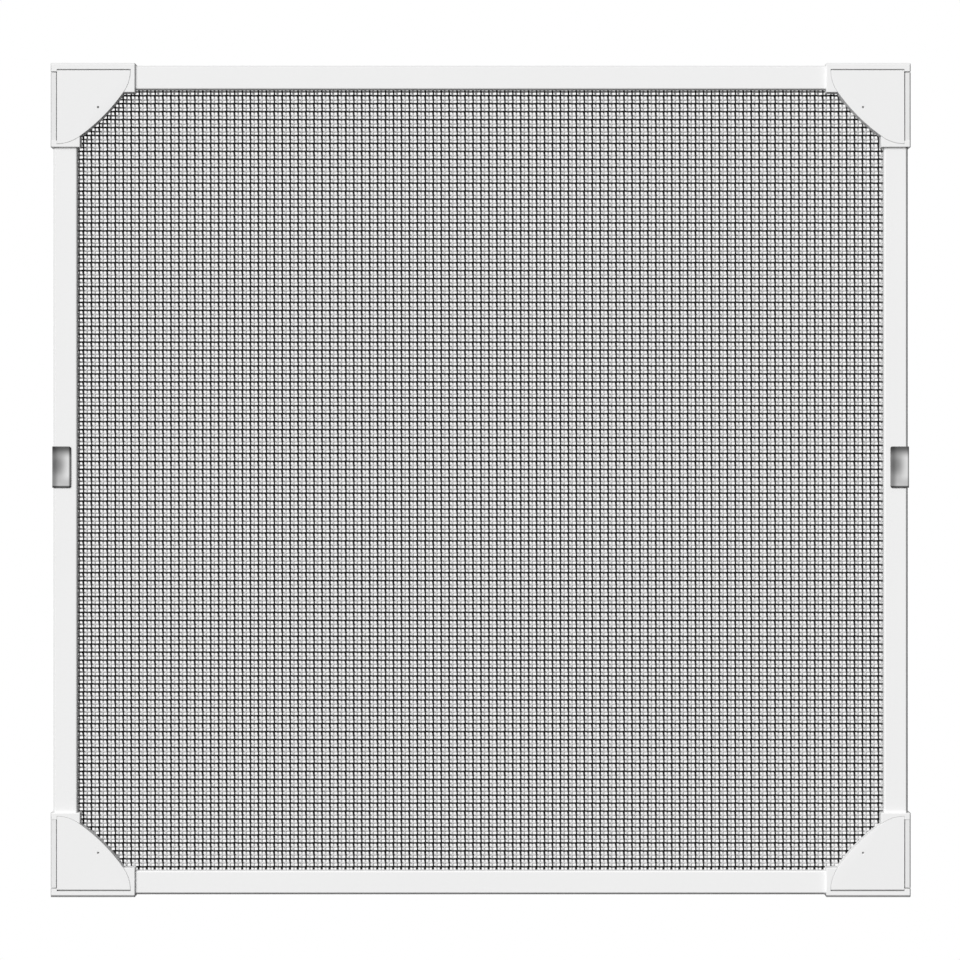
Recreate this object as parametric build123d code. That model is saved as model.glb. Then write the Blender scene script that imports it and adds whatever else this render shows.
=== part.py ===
from build123d import *
import os

os.makedirs("parts", exist_ok=True)

# A framed insect screen that hooks into a window opening. Four hollow bars are joined by four
# moulded corner blocks, and rubber cords press the mesh into the grooves in their backs. A thin
# cover clips on each corner block, and a steel clip on each stile hooks behind the window's lip.
# Millimetres. X runs to the right, Z up, and the front faces -Y. Depths are counted backwards from
# the front of the corner blocks, and "in" is a distance from the outer edge of those blocks.

# Frame, measured over the corner blocks
overall_width = 902.0
overall_height = 875.0

# Extruded bar, with its section counted from the bar's own outer edge and front
bar_face = 25.0
bar_depth = 10.0
bar_wall = 1.2
bar_edge_radius = 1.7
lip_edge_chamfer = 0.4
chamber_face = 16.0
groove_width = 4.2
groove_floor = 1.8
lip_depth = 7.0
bead_height = 0.4
bead_length = 1.0
bead_below_lip = 0.3

# Corner block
arm_length = 88.3
outer_wall = 2.2
inner_wall = 3.6
front_wall = 2.6
back_wall = 1.4
block_edge_radius = 0.8
inside_corner_radius = 3.0
socket_depth = 5.0
socket_floor = 2.2
socket_gap = 0.15
plug_length = 40.0
plug_root = 1.0
plug_nose = 1.5
plug_slot_width = 6.0
plug_slot_ends = 5.0
plug_rib = 2.5
core_wall = 1.8
core_rib = 1.6
core_face_wall = 1.6
cores_per_arm = 3

# Sprung strip that a slit leaves along the block's side edge
strip_thickness = 5.5
strip_end_in = 8.85
strip_root_wall = 1.6
strip_drop = 0.6
slit_width = 1.1

# Corner cover, seated in a recess with a groove between it and the block's top or bottom rim
rim_width = 6.4
rim_groove_width = 1.3
rim_groove_depth = 2.1
cover_thickness = 1.5
cover_end_land = 3.6
cover_end_radius = 40.0
cover_end_angle = 35.0
cover_arc_gap = 0.4
cover_side_gap = 0.1
cover_edge_chamfer = 0.3
cover_lip_thickness = 1.6
cover_rib_thickness = 1.4
cover_rib_depth = 4.0
gate_pit_diameter = 2.6
gate_pit_depth = 1.0
gate_pit_in_side = 49.85
gate_pit_in_edge = 46.45

# Snap tongues under the cover
tongue_width = 5.0
tongue_thickness = 1.2
tongue_barb = 0.6
tongue_barb_length = 1.6
tongue_gap = 0.3

# Mesh and the cords that hold it
thread_pitch = 8.378
warp_width = 2.0
weft_width = 2.35
mesh_wall = 0.5
ridge_height = 0.5
mesh_edge_gap = 0.05
open_columns_count = 12
open_rows_count = 10
open_across_count = 3
open_up_count = 8
open_side_margin = 1.55
open_end_margin = 0.2
cord_gap = 0.05
clear_gap = 0.3

# Steel clip, a bent strip with its hook behind the frame
clip_sheet = 1.2
clip_height = 43.3
clip_above_middle = 13.6
clip_tab_in = 20.8
clip_side_gap = 0.05
clip_bend_radius = 1.2
clip_corner_radius = 2.0
hook_leg_in = 13.0
hook_gap = 10.2
hook_tip_in = 2.4
hook_height = 26.0
hook_corner_radius = 3.0

# Places worked out from the sizes above
bar_front = front_wall
bar_back = bar_front + bar_depth
block_depth = bar_back + back_wall
bar_inner = outer_wall + bar_face
arm_width = bar_inner + inner_wall
groove_outer = outer_wall + chamber_face
groove_inner = groove_outer + groove_width
groove_bottom = bar_front + groove_floor
lip_plane = bar_front + lip_depth
socket_in = arm_length - socket_depth
strip_root_in = socket_in - strip_root_wall
cover_side_in = strip_thickness + slit_width
cover_top_in = rim_width + rim_groove_width
cover_reach = arm_length - cover_end_land - cover_top_in
core_floor = cover_thickness + core_face_wall
mesh_in = groove_inner - mesh_edge_gap - mesh_wall
cord_diameter = mesh_in - groove_outer - 2 * cord_gap
cord_in = (groove_outer + mesh_in) / 2
clip_front = bar_front - clip_sheet
clip_back = bar_back + clip_sheet
hook_face = clip_back + hook_gap
overall_depth = hook_face + clip_sheet
front_y = -overall_depth / 2
clip_middle = overall_height / 2 + clip_above_middle
beyond = 1.0


def slab(profile, front, back):
    """A profile drawn as seen from the front, made solid from one depth to another."""
    return extrude(Plane.XZ.offset(-(front_y + back)) * profile, back - front)


def run(section, start, end, upright):
    """A section drawn as distance in and depth, run along an upright or a level piece."""
    if upright:
        plane = Plane((0, front_y, start), x_dir=(1, 0, 0), z_dir=(0, 0, 1))
    else:
        plane = Plane((end, front_y, 0), x_dir=(0, 0, 1), z_dir=(-1, 0, 0))
    return extrude(plane * section, end - start)


def rect(left, right, low, high):
    """A rectangle between two distances in from the side and two in from the edge."""
    return Pos((left + right) / 2, (low + high) / 2) * Rectangle(right - left, high - low)


def arm_rect(across_start, across_end, along_start, along_end, upright):
    """A rectangle on one arm of a corner block, given across the arm and along it."""
    if upright:
        return rect(across_start, across_end, along_start, along_end)
    return rect(along_start, along_end, across_start, across_end)


def arm_band(start, end):
    """The L that both arms make, between two distances in."""
    return rect(start, arm_length, start, end) + rect(start, end, start, arm_length)


def nearest_vertices(sketch, *places):
    """The sketch's corners at the given places."""
    return [sketch.vertices().sort_by_distance((x, y, 0))[0] for x, y in places]


# Bars: extruded aluminium, a hollow chamber beside a groove that is open to the back


def bar_section():
    groove_end = chamber_face + groove_width
    outline = rect(0, chamber_face, 0, bar_depth) + rect(groove_end, bar_face, 0, lip_depth)
    outline += rect(0, bar_face, 0, groove_floor)
    outer_corners = nearest_vertices(outline, (0, 0), (0, bar_depth), (bar_face, 0))
    outline = fillet(outer_corners, bar_edge_radius)
    lips = ((chamber_face, bar_depth), (groove_end, lip_depth), (bar_face, lip_depth))
    outline = chamfer(nearest_vertices(outline, *lips), lip_edge_chamfer)
    bead_top = lip_depth - bead_below_lip
    bead_peak = (chamber_face + bead_height, bead_top - bead_length / 2)
    outline += make_face(
        Polyline((chamber_face, bead_top - bead_length), bead_peak, (chamber_face, bead_top), close=True)
    )
    outline -= rect(bar_wall, chamber_face - bar_wall, bar_wall, bar_depth - bar_wall)
    outline -= rect(groove_end + bar_wall, bar_face - bar_wall, bar_wall, lip_depth - bar_wall)
    return outline


def bar(full_length, upright):
    section = Pos(outer_wall, bar_front) * bar_section()
    return run(section, socket_in, full_length - socket_in, upright)


# Corner blocks: injection moulded, with a collar and a plug leg for each bar


def cover_outline(arc_grow=0.0, side_grow=0.0, top_grow=0.0):
    """Two straight edges and three tangent arcs, each side moved outwards by its own gap."""
    arc_in = cover_reach - cover_end_radius
    radius = cover_end_radius + arc_grow
    near = CenterArc((cover_side_in + arc_in, cover_top_in), radius, 0, cover_end_angle)
    far = CenterArc((cover_side_in, cover_top_in + arc_in), radius, 90 - cover_end_angle, cover_end_angle)
    middle = TangentArc(near @ 1, far @ 0, tangent=near % 1)
    side, top = cover_side_in - side_grow, cover_top_in - top_grow
    reach = cover_reach + arc_grow
    outline = make_face([near, middle, far, Polyline(far @ 1, (cover_side_in, cover_top_in), near @ 0)])
    if side_grow:
        outline += rect(side, cover_side_in, top, cover_top_in + reach)
    if top_grow:
        outline += rect(side, cover_side_in + reach, top, cover_top_in)
    return outline


def core_spans():
    """The hollows cored out of the back of an arm, as the start and end of each along it."""
    length = socket_in - socket_floor - groove_outer
    pitch = (length + core_rib) / cores_per_arm
    starts = [groove_outer + i * pitch for i in range(cores_per_arm)]
    return [(start, start + pitch - core_rib) for start in starts]


def core_across(upright):
    """The start and end of those hollows across the arm."""
    return (cover_side_in if upright else 0) + core_wall, groove_outer - core_wall


def tongue_places(upright):
    """The middle of each snap tongue, over the first and the last hollow of an arm."""
    start, end = core_across(upright)
    spans = core_spans()
    return [((start + end) / 2, sum(span) / 2) for span in (spans[0], spans[-1])]


def plug(upright):
    """The leg that runs into the bar's chamber, slotted to save material."""
    inset = bar_wall + socket_gap
    section = rect(outer_wall + inset, groove_outer - inset, bar_front + inset, bar_back - inset)
    leg = run(section, socket_in - plug_root, socket_in + plug_length, upright)
    along = Axis.Z if upright else Axis.X
    leg = chamfer(leg.faces().sort_by(along)[-1].edges(), plug_nose)
    middle = outer_wall + chamber_face / 2
    slot_length = (plug_length - 2 * plug_slot_ends - plug_rib) / 2
    for start in (0, slot_length + plug_rib):
        start += socket_in + plug_slot_ends
        edges = (middle - plug_slot_width / 2, middle + plug_slot_width / 2, start, start + slot_length)
        leg -= slab(arm_rect(*edges, upright), 0, block_depth)
    return leg


def corner_block():
    block = slab(arm_band(0, arm_width), 0, lip_plane)
    block += slab(arm_band(0, groove_outer), lip_plane, block_depth)
    upright_edges = block.edges().filter_by(Axis.Y)
    block = fillet(upright_edges.sort_by_distance((arm_width, front_y, arm_width))[0], inside_corner_radius)
    outer_edge = block.edges().filter_by(Axis.Y).sort_by_distance((0, front_y, 0))[0]
    block = fillet(outer_edge, block_edge_radius)
    block = fillet(block.faces().sort_by(Axis.Y)[0].edges(), block_edge_radius)

    block -= slab(arm_band(groove_outer, groove_inner), groove_bottom, block_depth)
    block -= slab(cover_outline(cover_arc_gap, cover_side_gap, rim_groove_width), 0, cover_thickness)
    groove_end = cover_side_in + cover_reach + cover_arc_gap
    block -= slab(rect(cover_side_in - cover_side_gap, groove_end, rim_width, cover_top_in), 0, rim_groove_depth)
    for upright in (True, False):
        block -= socket(upright)
        block += plug(upright)
        across = core_across(upright)
        for span in core_spans():
            block -= slab(arm_rect(*across, *span, upright), core_floor, block_depth)
        for place in tongue_places(upright):
            block -= slab(tongue_window(*place, upright), 0, block_depth)
    side, top = core_across(True)[0], core_across(False)[0]
    block -= slab(rect(side, groove_outer - core_wall, top, groove_outer - core_wall), core_floor, block_depth)
    return block - side_slit()


def socket(upright):
    """The mouth that takes the bar's end, open at the back where the groove and the lip run through."""
    gap = socket_gap
    section = rect(outer_wall - gap, bar_inner + gap, bar_front - gap, lip_plane + gap)
    section += rect(outer_wall - gap, groove_outer + gap, bar_front - gap, bar_back + gap)
    return run(section, socket_in, arm_length + beyond, upright)


def side_slit():
    """The slit that frees the sprung strip, turned outwards at its end, and the strip's lowered face."""
    slit_end = strip_root_in - slit_width / 2
    slit = rect(strip_thickness, cover_side_in, strip_end_in, slit_end)
    slit += Pos(strip_thickness + slit_width / 2, slit_end) * Circle(slit_width / 2)
    slit += rect(-beyond, cover_side_in, strip_end_in, strip_end_in + slit_width)
    lowered = rect(-beyond, strip_thickness, strip_end_in, strip_root_in)
    return slab(slit, 0, block_depth) + slab(lowered, 0, strip_drop)


def tongue_window(across, along, upright):
    """The hole in the recess that a snap tongue goes through."""
    start = across - tongue_thickness / 2 - tongue_gap
    end = across + tongue_thickness / 2 + tongue_barb + tongue_gap
    half = tongue_width / 2 + tongue_gap
    return arm_rect(start, end, along - half, along + half, upright)


# Corner covers: thin moulded plates that clip on the blocks and bridge their arms over the mesh


def tongue(across, along, upright):
    start, end, half = across - tongue_thickness / 2, across + tongue_thickness / 2, tongue_width / 2
    barb_start = core_floor + clear_gap / 2
    barb_end = barb_start + tongue_barb_length
    stem = slab(arm_rect(start, end, along - half, along + half, upright), cover_thickness, barb_end)
    barb = slab(arm_rect(end, end + tongue_barb, along - half, along + half, upright), barb_start, barb_end)
    return stem + barb


def corner_cover():
    plate = slab(cover_outline(), 0, cover_thickness)
    plate = chamfer(plate.faces().sort_by(Axis.Y)[0].edges(), cover_edge_chamfer)

    open_corner = arm_width + clear_gap
    rib_start = arm_width + inside_corner_radius
    free = rect(open_corner, arm_length, open_corner, arm_length)
    lip = (cover_outline() - cover_outline(arc_grow=-cover_lip_thickness)) & free
    plate += slab(lip, cover_thickness, lip_plane - ridge_height - clear_gap)
    rib = Pos(open_corner, open_corner) * Rot(Z=45) * Rectangle(2 * arm_length, cover_rib_thickness)
    rib &= cover_outline(arc_grow=-cover_lip_thickness / 2)
    rib &= rect(rib_start, arm_length, rib_start, arm_length)
    plate += slab(rib, cover_thickness, cover_thickness + cover_rib_depth)
    for upright in (True, False):
        for place in tongue_places(upright):
            plate += tongue(*place, upright)

    gate_pit = Pos(gate_pit_in_side, gate_pit_in_edge) * Circle(gate_pit_diameter / 2)
    return plate - slab(gate_pit, 0, gate_pit_depth)


# Mesh: one thin wall with its edges turned forwards into the grooves. A plain grid of openings lets
# through about as much as the real cells do. The bands between them carry the threads at their true
# pitch and width, the upright ones as ridges in front and the level ones behind.


def thread_lines(full_length):
    """The middle of each thread that crosses the opening."""
    count = round((full_length - 2 * bar_inner) / thread_pitch)
    return [full_length / 2 + (i - (count - 1) / 2) * thread_pitch for i in range(count)]


def opening_spans(lines, wanted, cells):
    """Which threads border each opening, with the openings spread alike on both sides of the middle."""
    last = len(lines) - 1
    period = last // wanted
    first = (last - (wanted - 1) * period - cells) // 2
    lower = [(first + i * period, first + i * period + cells) for i in range(wanted // 2)]
    return lower + [(last - end, last - start) for start, end in reversed(lower)]


def clear_of_openings(lines, spans):
    """The threads that run along a band of the mesh, beside the openings and between them."""
    return [line for i, line in enumerate(lines) if not any(a < i < b for a, b in spans)]


def mesh():
    columns, rows = thread_lines(overall_width), thread_lines(overall_height)
    sheet = rect(mesh_in, overall_width - mesh_in, mesh_in, overall_height - mesh_in)
    turned_in = mesh_in + mesh_wall
    inside = rect(turned_in, overall_width - turned_in, turned_in, overall_height - turned_in)
    wall = slab(sheet, lip_plane, lip_plane + mesh_wall)
    wall += slab(sheet - inside, groove_bottom + clear_gap, lip_plane)

    across = opening_spans(columns, open_columns_count, open_across_count)
    up = opening_spans(rows, open_rows_count, open_up_count)
    ridges, root = [], mesh_wall / 4
    for x in clear_of_openings(columns, across):
        side_in = min(x, overall_width - x) - warp_width / 2
        end = (arm_width if side_in < arm_length + clear_gap else bar_inner) + clear_gap
        if side_in < arm_width + inside_corner_radius:
            end += inside_corner_radius / 2
        strip = rect(x - warp_width / 2, x + warp_width / 2, end, overall_height - end)
        ridges.append(slab(strip, lip_plane - ridge_height, lip_plane + root))
    for z in clear_of_openings(rows, up):
        strip = rect(mesh_in, overall_width - mesh_in, z - weft_width / 2, z + weft_width / 2)
        ridges.append(slab(strip, lip_plane + mesh_wall - root, lip_plane + mesh_wall + ridge_height))
    wall += ridges

    beside_warp = warp_width / 2 + open_side_margin
    beside_weft = weft_width / 2 + open_end_margin
    openings = Sketch() + [
        rect(columns[a] + beside_warp, columns[b] - beside_warp, rows[c] + beside_weft, rows[d] - beside_weft)
        for a, b in across
        for c, d in up
    ]
    return wall - slab(openings, lip_plane - beyond, lip_plane + mesh_wall + beyond)


# Cords: round rubber, pushed into the grooves over the turned edges of the mesh


def cord(full_length, start, upright):
    depth = groove_bottom + cord_gap + cord_diameter / 2
    section = Pos(cord_in, depth) * Circle(cord_diameter / 2)
    return run(section, start, full_length - start, upright)


# Clips: spring steel strip, bent round the stile's outer edge and back out behind it as a hook


def clip():
    half = clip_sheet / 2
    side = outer_wall - clip_side_gap - half
    leg = hook_leg_in + half
    middle_line = FilletPolyline(
        (clip_tab_in, clip_front + half),
        (side, clip_front + half),
        (side, clip_back - half),
        (leg, clip_back - half),
        (leg, hook_face + half),
        (hook_tip_in, hook_face + half),
        radius=clip_bend_radius + half,
    )
    section = trace(middle_line, clip_sheet)
    strip = run(section, clip_middle - clip_height / 2, clip_middle + clip_height / 2, True)
    tab_corners = strip.edges().filter_by(Axis.Y).group_by(Axis.X)[-1]
    strip = fillet(tab_corners, clip_corner_radius)

    narrow_in = (side + half + leg - half) / 2
    for edge in (clip_middle - clip_height / 2, clip_middle + clip_height / 2):
        inner = clip_middle + (hook_height / 2 if edge > clip_middle else -hook_height / 2)
        low, high = min(edge, inner), max(edge, inner)
        notch = rect(narrow_in, leg + beyond, low, high)
        strip -= slab(notch, bar_back - beyond / 2, overall_depth)
        strip -= slab(rect(0, leg + beyond, low, high), clip_back + beyond, overall_depth)
    tip_corners = strip.edges().filter_by(Axis.Y).filter_by(lambda e: e.center().Y > front_y + hook_face)
    return fillet(tip_corners.group_by(Axis.X)[0], hook_corner_radius)


# Assembly: everything above is drawn in the lower left quarter, then mirrored and centred

to_centre = Pos(-overall_width / 2, 0, 0)
middle_plane = Plane.XY.offset(overall_height / 2)
parts = {}


def add_left_and_right(name, piece):
    left = to_centre * piece
    parts[name.format("left")] = left
    parts[name.format("right")] = mirror(left, about=Plane.YZ)


def add_bottom_and_top(name, piece):
    bottom = to_centre * piece
    parts[name.format("bottom")] = bottom
    parts[name.format("top")] = mirror(bottom, about=middle_plane)


add_left_and_right("{}_stile", bar(overall_height, True))
add_bottom_and_top("{}_rail", bar(overall_width, False))
for form, piece in (("corner", corner_block()), ("cover", corner_cover())):
    add_left_and_right("bottom_{}_" + form, piece)
    for side in ("left", "right"):
        parts[f"top_{side}_{form}"] = mirror(parts[f"bottom_{side}_{form}"], about=middle_plane)
parts["mesh"] = to_centre * mesh()
add_bottom_and_top("{}_spline", cord(overall_width, groove_outer + clear_gap, False))
side_cord_start = cord_in + cord_diameter / 2 + clear_gap
add_left_and_right("{}_spline", cord(overall_height, side_cord_start, True))
add_left_and_right("{}_clip", clip())

for name, piece in parts.items():
    export_step(piece, f"parts/{name}.step")
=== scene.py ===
import math

import bpy
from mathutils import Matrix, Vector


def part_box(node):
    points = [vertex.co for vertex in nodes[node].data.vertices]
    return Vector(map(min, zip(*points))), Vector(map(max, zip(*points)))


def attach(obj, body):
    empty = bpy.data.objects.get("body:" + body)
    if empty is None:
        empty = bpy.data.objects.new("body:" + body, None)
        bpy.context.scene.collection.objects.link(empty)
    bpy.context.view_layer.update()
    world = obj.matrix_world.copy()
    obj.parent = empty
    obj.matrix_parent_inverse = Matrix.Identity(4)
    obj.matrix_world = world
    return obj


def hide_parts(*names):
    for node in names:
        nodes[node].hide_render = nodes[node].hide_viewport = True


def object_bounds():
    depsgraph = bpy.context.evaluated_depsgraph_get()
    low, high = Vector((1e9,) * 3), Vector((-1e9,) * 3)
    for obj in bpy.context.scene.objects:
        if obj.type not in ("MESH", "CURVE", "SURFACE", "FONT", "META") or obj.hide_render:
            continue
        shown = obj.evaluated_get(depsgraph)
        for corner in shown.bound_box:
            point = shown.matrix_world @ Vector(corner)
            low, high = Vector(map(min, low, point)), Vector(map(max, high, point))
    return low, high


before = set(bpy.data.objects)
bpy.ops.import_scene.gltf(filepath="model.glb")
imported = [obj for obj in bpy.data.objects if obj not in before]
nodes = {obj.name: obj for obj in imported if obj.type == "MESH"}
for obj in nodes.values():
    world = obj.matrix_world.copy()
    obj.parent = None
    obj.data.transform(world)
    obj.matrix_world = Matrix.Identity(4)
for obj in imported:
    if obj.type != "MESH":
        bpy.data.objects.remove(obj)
cad_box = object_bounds()

# Bars. Extruded aluminium lengths with one even satin coat of white powder. The baked coat has a
# faint orange peel, and its tone and gloss drift a little along each bar.


def new_group(name, inputs, outputs):
    group = bpy.data.node_groups.new(name, "ShaderNodeTree")
    for label, kind, value in inputs:
        socket = group.interface.new_socket(label, in_out="INPUT", socket_type=kind)
        if value is not None:
            socket.default_value = value
    for label, kind in outputs:
        group.interface.new_socket(label, in_out="OUTPUT", socket_type=kind)
    start = group.nodes.new("NodeGroupInput")
    end = group.nodes.new("NodeGroupOutput")
    return group, start, end


def new_material(name, metallic=0.0, roughness=0.5, specular=0.5):
    material = bpy.data.materials.new(name)
    material.use_nodes = True
    tree = material.node_tree
    shader = tree.nodes["Principled BSDF"]
    shader.inputs["Metallic"].default_value = metallic
    shader.inputs["Roughness"].default_value = roughness
    shader.inputs["Specular IOR Level"].default_value = specular
    place = tree.nodes.new("ShaderNodeTexCoord")
    return material, tree, shader, place.outputs["Object"]


def add_group(tree, group, **values):
    node = tree.nodes.new("ShaderNodeGroup")
    node.node_tree = group
    for label, value in values.items():
        node.inputs[label.replace("_", " ")].default_value = value
    return node


def math_node(tree, operation, first, second=None, clamp=False):
    node = tree.nodes.new("ShaderNodeMath")
    node.operation = operation
    node.use_clamp = clamp
    for socket, value in zip(node.inputs, (first, second)):
        if isinstance(value, (int, float)):
            socket.default_value = value
        elif value is not None:
            tree.links.new(value, socket)
    return node.outputs[0]


def give(material, *names):
    for name in names:
        piece = nodes[name]
        piece.data.materials.clear()
        piece.data.materials.append(material)


# Cloudy tone: slow changes of tone and gloss, as any coat or moulding has, and a finer grain.
tone, tone_in, tone_out = new_group(
    "cloudy_tone",
    [
        ("Vector", "NodeSocketVector", None),
        ("Color", "NodeSocketColor", (0.8, 0.8, 0.8, 1)),
        ("Cloud Scale", "NodeSocketFloat", 12.0),
        ("Cloud Amount", "NodeSocketFloat", 0.02),
        ("Grain Scale", "NodeSocketFloat", 2500.0),
        ("Roughness", "NodeSocketFloat", 0.4),
        ("Roughness Spread", "NodeSocketFloat", 0.08),
    ],
    [("Color", "NodeSocketColor"), ("Roughness", "NodeSocketFloat"), ("Grain", "NodeSocketFloat")],
)
cloud = tone.nodes.new("ShaderNodeTexNoise")
cloud.inputs["Detail"].default_value = 4
grain = tone.nodes.new("ShaderNodeTexNoise")
grain.inputs["Detail"].default_value = 2
for texture, scale in ((cloud, "Cloud Scale"), (grain, "Grain Scale")):
    tone.links.new(tone_in.outputs["Vector"], texture.inputs["Vector"])
    tone.links.new(tone_in.outputs[scale], texture.inputs["Scale"])
centred = math_node(tone, "SUBTRACT", cloud.outputs["Fac"], 0.5)
lighten = math_node(tone, "MULTIPLY", centred, tone_in.outputs["Cloud Amount"])
factor = math_node(tone, "ADD", lighten, 1.0)
shade = tone.nodes.new("ShaderNodeVectorMath")
shade.operation = "SCALE"
tone.links.new(tone_in.outputs["Color"], shade.inputs[0])
tone.links.new(factor, shade.inputs["Scale"])
tone.links.new(shade.outputs[0], tone_out.inputs["Color"])
spread = math_node(tone, "MULTIPLY", centred, tone_in.outputs["Roughness Spread"])
tone.links.new(math_node(tone, "ADD", spread, tone_in.outputs["Roughness"]), tone_out.inputs["Roughness"])
tone.links.new(grain.outputs["Fac"], tone_out.inputs["Grain"])


# Distances inwards from the two sides and the two ends of an upright rectangle.
inside, inside_in, inside_out = new_group(
    "inside_outline",
    [
        ("Vector", "NodeSocketVector", None),
        ("Middle", "NodeSocketVector", None),
        ("Half Size", "NodeSocketVector", None),
    ],
    [("From Side", "NodeSocketFloat"), ("From End", "NodeSocketFloat")],
)
from_middle = inside.nodes.new("ShaderNodeVectorMath")
from_middle.operation = "SUBTRACT"
inside.links.new(inside_in.outputs["Vector"], from_middle.inputs[0])
inside.links.new(inside_in.outputs["Middle"], from_middle.inputs[1])
sideways = inside.nodes.new("ShaderNodeVectorMath")
sideways.operation = "ABSOLUTE"
inside.links.new(from_middle.outputs[0], sideways.inputs[0])
inwards = inside.nodes.new("ShaderNodeVectorMath")
inwards.operation = "SUBTRACT"
inside.links.new(inside_in.outputs["Half Size"], inwards.inputs[0])
inside.links.new(sideways.outputs[0], inwards.inputs[1])
apart = inside.nodes.new("ShaderNodeSeparateXYZ")
inside.links.new(inwards.outputs[0], apart.inputs[0])
inside.links.new(apart.outputs["X"], inside_out.inputs["From Side"])
inside.links.new(apart.outputs["Z"], inside_out.inputs["From End"])

front_plane = cad_box[0].y
screen_wide = cad_box[1].x - cad_box[0].x
screen_high = cad_box[1].z
screen_middle = (0, 0, screen_high / 2)
edge_fall = 0.0022


def surface(name, color, roughness, grain_scale, grain_depth, outline_in, roll_side, roll_end):
    """A coat or moulding: its tone, gloss, fine grain and rolled outer edges, by the piece's own place."""
    material, tree, shader, place = new_material(name, specular=0.15)
    look = add_group(
        tree,
        tone,
        Color=(*color, 1),
        Cloud_Amount=0.02,
        Grain_Scale=grain_scale,
        Roughness=roughness,
    )
    tree.links.new(place, look.inputs["Vector"])
    tree.links.new(look.outputs["Color"], shader.inputs["Base Color"])
    tree.links.new(look.outputs["Roughness"], shader.inputs["Roughness"])
    bump = tree.nodes.new("ShaderNodeBump")
    bump.inputs["Strength"].default_value = 0.6
    bump.inputs["Distance"].default_value = grain_depth
    tree.links.new(look.outputs["Grain"], bump.inputs["Height"])
    half_size = (screen_wide / 2 - outline_in, 0, screen_high / 2 - outline_in)
    edge = add_group(tree, inside, Middle=screen_middle, Half_Size=half_size)
    tree.links.new(place, edge.inputs["Vector"])
    near_side = math_node(tree, "DIVIDE", edge.outputs["From Side"], roll_side)
    near_end = math_node(tree, "DIVIDE", edge.outputs["From End"], roll_end)
    roll = tree.nodes.new("ShaderNodeBump")
    roll.inputs["Distance"].default_value = edge_fall
    tree.links.new(math_node(tree, "MINIMUM", near_side, near_end, clamp=True), roll.inputs["Height"])
    tree.links.new(bump.outputs["Normal"], roll.inputs["Normal"])
    tree.links.new(roll.outputs["Normal"], shader.inputs["Normal"])
    return material, tree, shader, place, look, edge


powder_white = (0.855, 0.855, 0.855)
bar_outline_in = 0.0022
powder_coat = surface(
    "white_powder_coat", powder_white, 0.5, 900.0, 0.00003, bar_outline_in, 0.0023, 0.0023
)
give(powder_coat[0], "top_rail", "bottom_rail", "left_stile", "right_stile")

# Corner blocks. Injection moulded in white plastic, with the fine even texture that the mould's
# spark erosion leaves. Each plugs into two bars and stands a little proud of both.

moulded_white = (0.845, 0.845, 0.845)
moulded_edge_round = 0.0007
round_steps = 3
rounded_from, sharp_from = math.radians(50), math.radians(35)


def clear_selection():
    if bpy.context.object and bpy.context.object.mode == "EDIT":
        bpy.ops.object.mode_set(mode="OBJECT")
    bpy.ops.object.select_all(action="DESELECT")


def rounded_copy(name, edge_round, material):
    """Put a copy of a node in its place, to round its edges as a mould or a tool leaves them.

    A known fault: the modifier's clamp holds the rounding under 0.1 mm, and under 0.01 mm on the
    blocks, so the edges stay as the CAD has them, with sliver faces along them.
    """
    clear_selection()
    node = nodes[name]
    node.select_set(True)
    bpy.context.view_layer.objects.active = node
    bpy.ops.object.duplicate()
    piece = bpy.context.object
    piece.name = f"{name}_rounded"
    for key in list(piece.keys()):
        if key.startswith("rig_"):
            del piece[key]
    bpy.ops.object.mode_set(mode="EDIT")
    bpy.ops.mesh.select_all(action="SELECT")
    bpy.ops.mesh.remove_doubles(threshold=1e-6)
    bpy.ops.object.mode_set(mode="OBJECT")
    rounded = piece.modifiers.new("rounded_edges", "BEVEL")
    rounded.width = edge_round
    rounded.segments = round_steps
    rounded.limit_method = "ANGLE"
    rounded.angle_limit = rounded_from
    bpy.ops.object.modifier_apply(modifier="rounded_edges")
    bpy.ops.object.shade_smooth_by_angle(angle=sharp_from)
    level = piece.modifiers.new("level_faces", "WEIGHTED_NORMAL")
    level.keep_sharp = True
    level.weight = 100
    bpy.ops.object.modifier_apply(modifier="level_faces")
    piece.data.materials.clear()
    piece.data.materials.append(material)
    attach(piece, "root")
    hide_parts(name)


# Where the joint beside a cover and the sprung strip lie: inwards from the end, inwards from the side
# and back from the front face. Then how much darker the painted shade makes them.
joint_inwards, joint_across, joint_deep = (0.00633, 0.00777), (0.0062, 0.0845), (0.0003, 0.00225)
strip_across, strip_deep = (0.0002, 0.0058), (0.0003, 0.0014)
upper_joint_shade, lower_joint_shade, strip_shade = 0.2, 0.55, 0.07


def between(tree, value, low, high):
    """One where a value lies between two limits, else nothing."""
    off_middle = math_node(tree, "SUBTRACT", value, (low + high) / 2)
    return math_node(tree, "LESS_THAN", math_node(tree, "ABSOLUTE", off_middle), (high - low) / 2)


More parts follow.
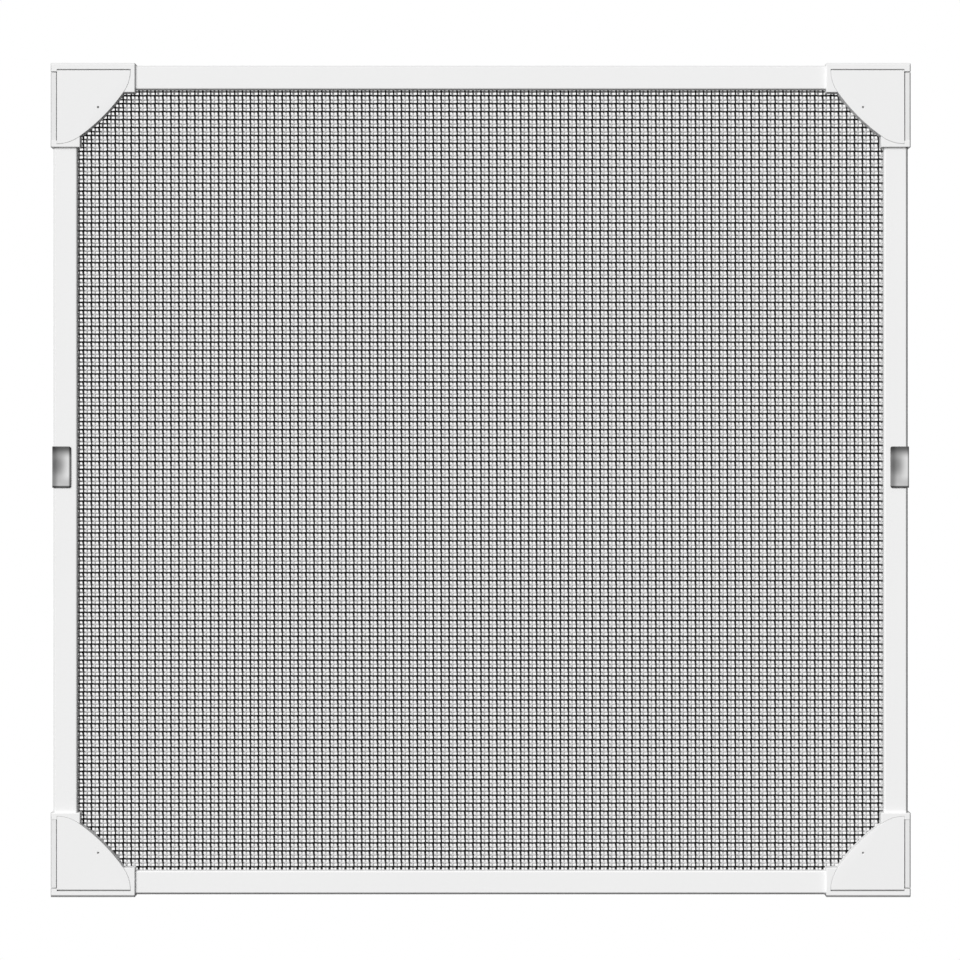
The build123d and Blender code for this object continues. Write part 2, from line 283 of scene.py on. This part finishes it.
def paint_joint_shade(tree, place, edge, color):
    """Paint shade into a colour: in the joint above or below a cover, darker below, and on the strips."""
    split = tree.nodes.new("ShaderNodeSeparateXYZ")
    tree.links.new(place, split.inputs[0])
    from_side, from_end = edge.outputs["From Side"], edge.outputs["From End"]
    deep = math_node(tree, "SUBTRACT", split.outputs["Y"], front_plane)
    lower = math_node(tree, "LESS_THAN", split.outputs["Z"], screen_high / 2)
    # Painted shade: the joint below a cover is painted darker than the one above.
    painted_shade = math_node(tree, "ADD", math_node(tree, "MULTIPLY", lower, lower_joint_shade - upper_joint_shade), upper_joint_shade)
    for value, limits in ((from_end, joint_inwards), (from_side, joint_across), (deep, joint_deep)):
        painted_shade = math_node(tree, "MULTIPLY", painted_shade, between(tree, value, *limits))
    on_strip = between(tree, from_side, *strip_across)
    on_strip = math_node(tree, "MULTIPLY", on_strip, between(tree, deep, *strip_deep))
    painted_shade = math_node(tree, "MAXIMUM", painted_shade, math_node(tree, "MULTIPLY", on_strip, strip_shade))
    share = math_node(tree, "SUBTRACT", 1.0, painted_shade)
    shaded_color = tree.nodes.new("ShaderNodeVectorMath")
    shaded_color.operation = "SCALE"
    tree.links.new(color, shaded_color.inputs[0])
    tree.links.new(share, shaded_color.inputs["Scale"])
    return shaded_color.outputs[0]


moulding, tree, shader, place, look, edge = surface(
    "white_moulding", moulded_white, 0.55, 1800.0, 0.00004, 0.0, 0.0009, 0.0022
)
# Painted shade in the joints beside the covers and on the sprung strips.
tree.links.new(paint_joint_shade(tree, place, edge, look.outputs["Color"]), shader.inputs["Base Color"])
for upright in ("top", "bottom"):
    for side in ("left", "right"):
        rounded_copy(f"{upright}_{side}_corner", moulded_edge_round, moulding)

# Mesh. Coated glass yarn in a dark grid in front, woven over and under itself, and behind it a pale
# grid half a cell across and up, a painted shadow of the dark grid. The ends turn over the lips into the
# grooves.

pitch = 0.008378
columns, rows = 101, 98
shift_across, shift_up = 0.00017, -0.00136
dark_warp_across, dark_weft_across = 0.00248, 0.002
pale_warp_across, pale_weft_across = 0.0016, 0.0019
yarn_thick = 0.0006
weave_swing = 0.00033
groove_inner = 0.0224
groove_margin = 0.00023
turn_radius = 0.0004
turn_steps, turn_flatness = 3, 0.75
lip_plane = front_plane + 0.0096
groove_end = front_plane + 0.0049
dark_middle = lip_plane + weave_swing + yarn_thick / 2
pale_middle = dark_middle + yarn_thick
first_column = shift_across - (columns - 1) / 2 * pitch
first_row = screen_high / 2 + shift_up - (rows - 1) / 2 * pitch
reach_across = (
    groove_inner - groove_margin - screen_wide / 2,
    screen_wide / 2 - groove_inner + groove_margin,
)
reach_up = (groove_inner - groove_margin, screen_high - groove_inner + groove_margin)


def yarn(name, across, middle, first, count, reach, rings, flip):
    """One yarn along Z through count crossings, from one groove to the other, at X = 0.

    Each ring is its place past a crossing in pitches, its share of the width and its shift in X.
    """
    clear_selection()
    bpy.ops.mesh.primitive_circle_add(vertices=4, radius=1.0, location=(0, 0, 0))
    piece = bpy.context.object
    piece.name = name
    bpy.ops.object.mode_set(mode="EDIT")
    bpy.ops.mesh.select_mode(type="VERT")
    bpy.ops.mesh.select_all(action="SELECT")
    bpy.ops.transform.resize(value=(across / 2, yarn_thick / 2, 1))
    bpy.ops.transform.translate(value=(0, middle, first + rings[0][0] * pitch))
    places = [place for place, _, _ in rings] + [rings[0][0] + 1]
    for start, end in zip(places, places[1:]):
        step = (0, 0, (end - start) * pitch)
        bpy.ops.mesh.extrude_region_move(TRANSFORM_OT_translate={"value": step})
    bpy.ops.object.mode_set(mode="OBJECT")
    repeat = piece.modifiers.new("crossings", "ARRAY")
    repeat.count = count - 1
    repeat.use_relative_offset = False
    repeat.use_constant_offset = True
    repeat.constant_offset_displace = (0, 0, pitch)
    repeat.use_merge_vertices = True
    repeat.merge_threshold = 1e-6
    bpy.ops.object.modifier_apply(modifier="crossings")

    def pick(test):
        for part in (piece.data.edges, piece.data.polygons):
            part.foreach_set("select", [False] * len(part))
        chosen = [bool(test(v.co)) for v in piece.data.vertices]
        piece.data.vertices.foreach_set("select", chosen)
        bpy.ops.object.mode_set(mode="EDIT")

    def past_crossing(place):
        return (place.z - first) / pitch

    for place_past, share, shift in rings:
        pick(lambda place: abs((past_crossing(place) - place_past + 0.5) % 1 - 0.5) < 0.01)
        bpy.ops.transform.resize(value=(share, 1, 1), center_override=(0, middle, 0))
        bpy.ops.transform.translate(value=(shift, 0, 0))
        bpy.ops.object.mode_set(mode="OBJECT")
    for turn in (0, 1):
        swing = weave_swing if (turn + flip) % 2 else -weave_swing
        pick(lambda place: round(past_crossing(place)) % 2 == turn)
        bpy.ops.transform.translate(value=(0, swing, 0))
        bpy.ops.object.mode_set(mode="OBJECT")

    # A known fault: the spin turns each end back, into the lip's wall, and not out into the groove.
    for stop, outwards in zip(reach, (-1, 1)):
        heights = [v.co.z for v in piece.data.vertices]
        end = max(heights) if outwards > 0 else min(heights)
        ring = [v.co.y for v in piece.data.vertices if abs(v.co.z - end) < 1e-6]
        depth = sum(ring) / len(ring)
        turn_start = stop - outwards * turn_radius
        pick(lambda place: abs(place.z - end) < 1e-6)
        bpy.ops.mesh.extrude_region_move(TRANSFORM_OT_translate={"value": (0, 0, turn_start - end)})
        bpy.ops.transform.resize(value=(1, turn_flatness, 1), center_override=(0, depth, turn_start))
        bpy.ops.mesh.spin(
            steps=turn_steps,
            angle=outwards * math.radians(90),
            center=(0, depth - turn_radius, turn_start),
            axis=(1, 0, 0),
        )
        into_groove = (0, groove_end - depth + turn_radius, 0)
        bpy.ops.mesh.extrude_region_move(TRANSFORM_OT_translate={"value": into_groove})
        bpy.ops.mesh.edge_face_add()
        bpy.ops.object.mode_set(mode="OBJECT")
    return piece


def grid(name, yarns, first_yarn, level, **shape):
    """Both kinds of yarn, over first and under first, side by side by turns across the screen."""
    halves = []
    for flip in (0, 1):
        piece = yarn(f"{name}_{flip}", flip=flip, **shape)
        bpy.ops.object.mode_set(mode="EDIT")
        bpy.ops.mesh.select_all(action="SELECT")
        bpy.ops.transform.translate(value=(first_yarn + flip * pitch, 0, 0))
        # A known fault: all the faces come out facing inwards.
        bpy.ops.mesh.normals_make_consistent(inside=False)
        bpy.ops.object.mode_set(mode="OBJECT")
        repeat = piece.modifiers.new("side_by_side", "ARRAY")
        repeat.count = (yarns + 1 - flip) // 2
        repeat.use_relative_offset = False
        repeat.use_constant_offset = True
        repeat.constant_offset_displace = (2 * pitch, 0, 0)
        bpy.ops.object.modifier_apply(modifier="side_by_side")
        halves.append(piece)
    clear_selection()
    for half in halves:
        half.select_set(True)
    bpy.context.view_layer.objects.active = halves[0]
    bpy.ops.object.join()
    piece = bpy.context.object
    piece.name = name
    if level:
        piece.rotation_euler = (0, math.radians(90), 0)
        bpy.ops.object.transform_apply(location=False, rotation=True, scale=False)
    bpy.ops.object.shade_smooth()
    return piece


crossing_start, crossing_full = -0.4, 0.95
swell_height = 0.0003


def coated_yarn(name, color, along, crossing_middle, crossing_color=None):
    """A coated yarn's look: uneven coat, and darker where dark yarns cross."""
    material, tree, shader, place = new_material(name, roughness=0.5, specular=0.25)
    look = add_group(tree, tone, Color=(*color, 1), Cloud_Scale=180.0, Cloud_Amount=0.5, Roughness=0.5)
    tree.links.new(place, look.inputs["Vector"])
    tree.links.new(look.outputs["Roughness"], shader.inputs["Roughness"])
    split = tree.nodes.new("ShaderNodeSeparateXYZ")
    tree.links.new(place, split.inputs[0])
    phase = math_node(tree, "SUBTRACT", split.outputs[along], crossing_middle)
    turn = math_node(tree, "MULTIPLY", phase, 2 * math.pi / pitch)
    rise = math_node(tree, "COSINE", turn)
    # Darker colour towards each place where the dark yarns cross.
    if crossing_color:
        near_crossing = tree.nodes.new("ShaderNodeMapRange")
        near_crossing.interpolation_type = "SMOOTHSTEP"
        near_crossing.inputs["From Min"].default_value = crossing_start
        near_crossing.inputs["From Max"].default_value = crossing_full
        tree.links.new(rise, near_crossing.inputs["Value"])
        darkened = tree.nodes.new("ShaderNodeMix")
        darkened.data_type = "RGBA"
        tree.links.new(near_crossing.outputs["Result"], darkened.inputs["Factor"])
        tree.links.new(look.outputs["Color"], darkened.inputs["A"])
        darkened.inputs["B"].default_value = (*crossing_color, 1)
        tree.links.new(darkened.outputs["Result"], shader.inputs["Base Color"])
    else:
        tree.links.new(look.outputs["Color"], shader.inputs["Base Color"])
    swell = tree.nodes.new("ShaderNodeBump")
    swell.inputs["Strength"].default_value = 1.0
    swell.inputs["Distance"].default_value = swell_height
    tree.links.new(rise, swell.inputs["Height"])
    tree.links.new(swell.outputs["Normal"], shader.inputs["Normal"])
    return material


dark_warp = grid(
    "dark_warp",
    columns + 2,
    first_column - pitch,
    False,
    across=dark_warp_across,
    middle=dark_middle,
    first=first_row,
    count=rows + 1,
    reach=reach_up,
    rings=((0.0, 1.0, -0.0002), (0.18, 0.62, 0.0004)),
)
dark_weft = grid(
    "dark_weft",
    rows + 1,
    -(first_row + rows * pitch),
    True,
    across=dark_weft_across,
    middle=dark_middle,
    first=first_column - pitch,
    count=columns + 2,
    reach=reach_across,
    rings=((0.17, 1.0, -0.00025), (0.5, 0.95, 0.0)),
)
pale_warp = grid(
    "pale_warp",
    columns + 1,
    first_column - pitch / 2,
    False,
    across=pale_warp_across,
    middle=pale_middle,
    first=first_row - pitch / 2,
    count=rows + 1,
    reach=reach_up,
    rings=((0.25, 0.95, -0.0002), (0.83, 1.45, -0.0008)),
)
pale_weft = grid(
    "pale_weft",
    rows + 1,
    -(first_row + (rows - 0.5) * pitch),
    True,
    across=pale_weft_across,
    middle=pale_middle,
    first=first_column - pitch / 2,
    count=columns + 1,
    reach=reach_across,
    rings=((0.0, 1.15, -0.0001), (0.49, 0.85, -0.0001)),
)

dark, crossing_dark, pale = (0.045, 0.045, 0.045), (0.003, 0.003, 0.003), (0.62, 0.62, 0.62)
dark_warp.data.materials.append(coated_yarn("dark_warp_yarn", dark, "Z", first_row, crossing_dark))
dark_weft.data.materials.append(coated_yarn("dark_weft_yarn", dark, "X", first_column, crossing_dark))
# The pale grid is a painted shadow of the dark grid, built as grey yarns behind it.
pale_warp.data.materials.append(coated_yarn("pale_warp_painted_shadow", pale, "Z", first_row))
pale_weft.data.materials.append(coated_yarn("pale_weft_painted_shadow", pale, "X", first_column))

for piece in (dark_warp, dark_weft, pale_warp, pale_weft):
    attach(piece, "root")
    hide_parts("mesh")

# Cords. Solid black rubber with fine rings that grip the mesh, rolled into the grooves behind.

rubber_black = (0.035, 0.035, 0.037)
grip_scale, grip_height = 320.0, 0.0001
rubber, tree, shader, place = new_material("cord_rubber", roughness=0.7, specular=0.4)
look = add_group(tree, tone, Color=(*rubber_black, 1), Cloud_Amount=0.4, Roughness=0.7)
tree.links.new(place, look.inputs["Vector"])
tree.links.new(look.outputs["Color"], shader.inputs["Base Color"])
tree.links.new(look.outputs["Roughness"], shader.inputs["Roughness"])
rings = tree.nodes.new("ShaderNodeTexWave")
rings.inputs["Scale"].default_value = grip_scale
rings.bands_direction = "DIAGONAL"
tree.links.new(place, rings.inputs["Vector"])
grip = tree.nodes.new("ShaderNodeBump")
grip.inputs["Distance"].default_value = grip_height
tree.links.new(rings.outputs["Fac"], grip.inputs["Height"])
tree.links.new(grip.outputs["Normal"], shader.inputs["Normal"])
give(rubber, "top_spline", "bottom_spline", "left_spline", "right_spline")

# Corner covers. Thin plates moulded in the same plastic from a smoother mould, snapped into the
# recess on the front of each block. Each has a small pit where the moulding's gate broke off, with painted
# shade in it.

gate_in_side, gate_in_edge = 0.04985, 0.04645
gate_dark_radius, gate_soft_radius = 0.0007, 0.0014
gate_shade = 0.22

smooth_moulding, tree, shader, place, look, edge = surface(
    "white_moulding_smooth", moulded_white, 0.5, 2200.0, 0.00002, 0.0, 0.0009, 0.0022
)
from_middle = tree.nodes.new("ShaderNodeVectorMath")
from_middle.operation = "SUBTRACT"
from_middle.inputs[1].default_value = (0, 0, screen_high / 2)
tree.links.new(place, from_middle.inputs[0])
outwards = tree.nodes.new("ShaderNodeVectorMath")
outwards.operation = "ABSOLUTE"
tree.links.new(from_middle.outputs[0], outwards.inputs[0])
level_face = tree.nodes.new("ShaderNodeVectorMath")
level_face.operation = "MULTIPLY"
level_face.inputs[1].default_value = (1, 0, 1)
tree.links.new(outwards.outputs[0], level_face.inputs[0])
from_gate = tree.nodes.new("ShaderNodeVectorMath")
from_gate.operation = "DISTANCE"
from_gate.inputs[1].default_value = (screen_wide / 2 - gate_in_side, 0, screen_high / 2 - gate_in_edge)
tree.links.new(level_face.outputs[0], from_gate.inputs[0])
# Painted shade in the gate pit, darkest at its middle.
pit_painted_shade = tree.nodes.new("ShaderNodeMapRange")
pit_painted_shade.interpolation_type = "SMOOTHSTEP"
pit_painted_shade.inputs["From Min"].default_value = gate_dark_radius
pit_painted_shade.inputs["From Max"].default_value = gate_soft_radius
pit_painted_shade.inputs["To Min"].default_value = gate_shade
tree.links.new(from_gate.outputs["Value"], pit_painted_shade.inputs["Value"])
pit_shaded_color = tree.nodes.new("ShaderNodeVectorMath")
pit_shaded_color.operation = "SCALE"
# Painted shade in the joint beside each cover and on the strips.
tree.links.new(paint_joint_shade(tree, place, edge, look.outputs["Color"]), pit_shaded_color.inputs[0])
tree.links.new(pit_painted_shade.outputs["Result"], pit_shaded_color.inputs["Scale"])
tree.links.new(pit_shaded_color.outputs[0], shader.inputs["Base Color"])
for upright in ("top", "bottom"):
    for side in ("left", "right"):
        rounded_copy(f"{upright}_{side}_cover", moulded_edge_round, smooth_moulding)

# Clips. Spring steel strip about the stile's outer edge, cut and bent cold, so its cut edges are
# slightly rounded. Its colour holds a painted reflection and painted shade, darkest at the edges and the
# bend.

clip_edge_round = 0.00028
bright_steel = (0.75, 0.75, 0.75)
# The painted reflection's dark pool: its reach, its middle and its darkest shade, in shares of the clip's
# face.
pool_wide, pool_high = 0.6, 0.5
pool_across, pool_up, pool_shade = 0.28, 0.56, 0.36


def fade(tree, value, start, end, low, high=1.0):
    """A soft step of a value, from low at the start to high at the end."""
    node = tree.nodes.new("ShaderNodeMapRange")
    node.interpolation_type = "SMOOTHSTEP"
    for label, number in (("From Min", start), ("From Max", end), ("To Min", low), ("To Max", high)):
        node.inputs[label].default_value = number
    tree.links.new(value, node.inputs["Value"])
    return node.outputs["Result"]


def steel_with_painted_light(name, low, high):
    """The steel of one clip, with painted reflection and painted shade laid out over the clip's own width
    and height.
    """
    material, tree, shader, place = new_material(name, metallic=1.0)
    look = add_group(
        tree,
        tone,
        Color=(*bright_steel, 1),
        Cloud_Scale=60.0,
        Cloud_Amount=0.1,
        Roughness=0.36,
    )
    tree.links.new(place, look.inputs["Vector"])
    tree.links.new(look.outputs["Roughness"], shader.inputs["Roughness"])
    size = high - low
    spread = tree.nodes.new("ShaderNodeMapping")
    spread.inputs["Scale"].default_value = (1 / size.x, 1, 1 / size.z)
    spread.inputs["Location"].default_value = (-low.x / size.x, 0, -low.z / size.z)
    tree.links.new(place, spread.inputs["Vector"])
    split = tree.nodes.new("ShaderNodeSeparateXYZ")
    tree.links.new(spread.outputs[0], split.inputs[0])
    across, up = split.outputs["X"], split.outputs["Z"]
    from_pool = tree.nodes.new("ShaderNodeVectorMath")
    from_pool.operation = "DISTANCE"
    pool_shape = tree.nodes.new("ShaderNodeMapping")
    pool_shape.inputs["Scale"].default_value = (1 / pool_wide, 0, 1 / pool_high)
    tree.links.new(spread.outputs[0], pool_shape.inputs["Vector"])
    tree.links.new(pool_shape.outputs[0], from_pool.inputs[0])
    from_pool.inputs[1].default_value = (pool_across / pool_wide, 0, pool_up / pool_high)
    # Painted reflection: a dark pool in the steel's colour, lighter away from it.
    painted_light = fade(tree, from_pool.outputs["Value"], 0.1, 1.1, pool_shade)
    # Then the painted shade at each edge: along what it is measured, from where to where, and how dark.
    for value, start, end, shade in (
        (across, 0.1, 0.4, 0.5),
        (across, 0.97, 0.87, 0.2),
        (up, 0.97, 0.7, 0.17),
        (up, 0.12, 0.32, 0.75),
        (up, 0.025, 0.06, 0.13),
    ):
        painted_light = math_node(tree, "MULTIPLY", painted_light, fade(tree, value, start, end, shade))
    painted_light_color = tree.nodes.new("ShaderNodeVectorMath")
    painted_light_color.operation = "SCALE"
    tree.links.new(look.outputs["Color"], painted_light_color.inputs[0])
    tree.links.new(painted_light, painted_light_color.inputs["Scale"])
    tree.links.new(painted_light_color.outputs[0], shader.inputs["Base Color"])
    stretch = tree.nodes.new("ShaderNodeMapping")
    stretch.inputs["Scale"].default_value = (160.0, 160.0, 6000.0)
    tree.links.new(place, stretch.inputs["Vector"])
    marks = tree.nodes.new("ShaderNodeTexNoise")
    marks.inputs["Scale"].default_value = 1.0
    marks.inputs["Detail"].default_value = 3
    tree.links.new(stretch.outputs[0], marks.inputs["Vector"])
    rolled = tree.nodes.new("ShaderNodeBump")
    rolled.inputs["Strength"].default_value = 0.5
    rolled.inputs["Distance"].default_value = 0.000015
    tree.links.new(marks.outputs["Fac"], rolled.inputs["Height"])
    tree.links.new(rolled.outputs["Normal"], shader.inputs["Normal"])
    return material


for side in ("left", "right"):
    steel = steel_with_painted_light(f"{side}_clip_painted_light", *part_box(f"{side}_clip"))
    rounded_copy(f"{side}_clip", clip_edge_round, steel)

# Stage. The screen hangs in its window over a pale floor. A broad soft lamp stands in front, on the
# left, with a pale surround that is darker low down, and the camera stands square in front.

floor_drop = 0.65
floor_wide = 4.0
floor_seen, floor_bounced = (0.88, 0.88, 0.88, 1), (0.1, 0.1, 0.1, 1)
lamp_strength, lamp_spread = 3.1, math.radians(40)
lamp_turn = (math.radians(64), 0, math.radians(-30))
surround_low, surround_high = 0.1, 0.4


def seen_ray(tree, path):
    """One for a ray by which the camera sees the stage, straight or in steel or plastic; else nothing."""
    seen = math_node(tree, "ADD", path.outputs["Is Camera Ray"], path.outputs["Is Glossy Ray"])
    return math_node(tree, "ADD", seen, path.outputs["Is Transmission Ray"], clamp=True)


clear_selection()
bpy.ops.mesh.primitive_plane_add(size=floor_wide, location=(0, 0, -floor_drop))
floor = bpy.context.object
floor.name = "floor"
bpy.ops.object.transform_apply(location=True)
paper, tree, shader, place = new_material("floor_paper", roughness=0.9)
look = add_group(tree, tone, Color=floor_seen, Cloud_Scale=3.0, Cloud_Amount=0.01, Roughness=0.9)
tree.links.new(place, look.inputs["Vector"])
path = tree.nodes.new("ShaderNodeLightPath")
seen_pale = tree.nodes.new("ShaderNodeMix")
seen_pale.data_type = "RGBA"
seen_pale.inputs["A"].default_value = floor_bounced
tree.links.new(seen_ray(tree, path), seen_pale.inputs["Factor"])
tree.links.new(look.outputs["Color"], seen_pale.inputs["B"])
tree.links.new(seen_pale.outputs["Result"], shader.inputs["Base Color"])
floor.data.materials.append(paper)

bpy.ops.object.light_add(type="SUN", location=(-1.0, -2.0, 1.5))
lamp = bpy.context.object
lamp.name = "soft_lamp"
lamp.data.energy = lamp_strength
lamp.visible_glossy = False
lamp.data.angle = lamp_spread
lamp.rotation_euler = lamp_turn

world = bpy.data.worlds.new("surround")
bpy.context.scene.world = world
world.use_nodes = True
tree = world.node_tree
sky = tree.nodes["Background"]
path = tree.nodes.new("ShaderNodeLightPath")
seen = seen_ray(tree, path)
around = tree.nodes.new("ShaderNodeTexCoord")
towards_lamp = tree.nodes.new("ShaderNodeVectorMath")
towards_lamp.operation = "DOT_PRODUCT"
towards_lamp.inputs[1].default_value = (-0.6, 0, 0.8)
tree.links.new(around.outputs["Generated"], towards_lamp.inputs[0])
soft = fade(tree, towards_lamp.outputs["Value"], -0.3, 0.4, surround_low, surround_high)
strength = math_node(tree, "MAXIMUM", soft, seen)
tree.links.new(strength, sky.inputs["Strength"])
sky.inputs["Color"].default_value = (1, 1, 1, 1)

pixel = 0.00105
frame_pixels = 960
camera_reach = 2.0
bar_face_plane = front_plane + 0.0026
off_middle = (-0.00068, 0.00005)
bpy.ops.object.camera_add(
    location=(off_middle[0], bar_face_plane - camera_reach, screen_high / 2 + off_middle[1]),
    rotation=(math.radians(90), 0, 0),
)
camera = bpy.context.object
camera.name = "square_on"
camera.data.lens = camera.data.sensor_width * camera_reach / (frame_pixels * pixel)
bpy.context.scene.camera = camera
bpy.context.scene.view_settings.view_transform = "Standard"
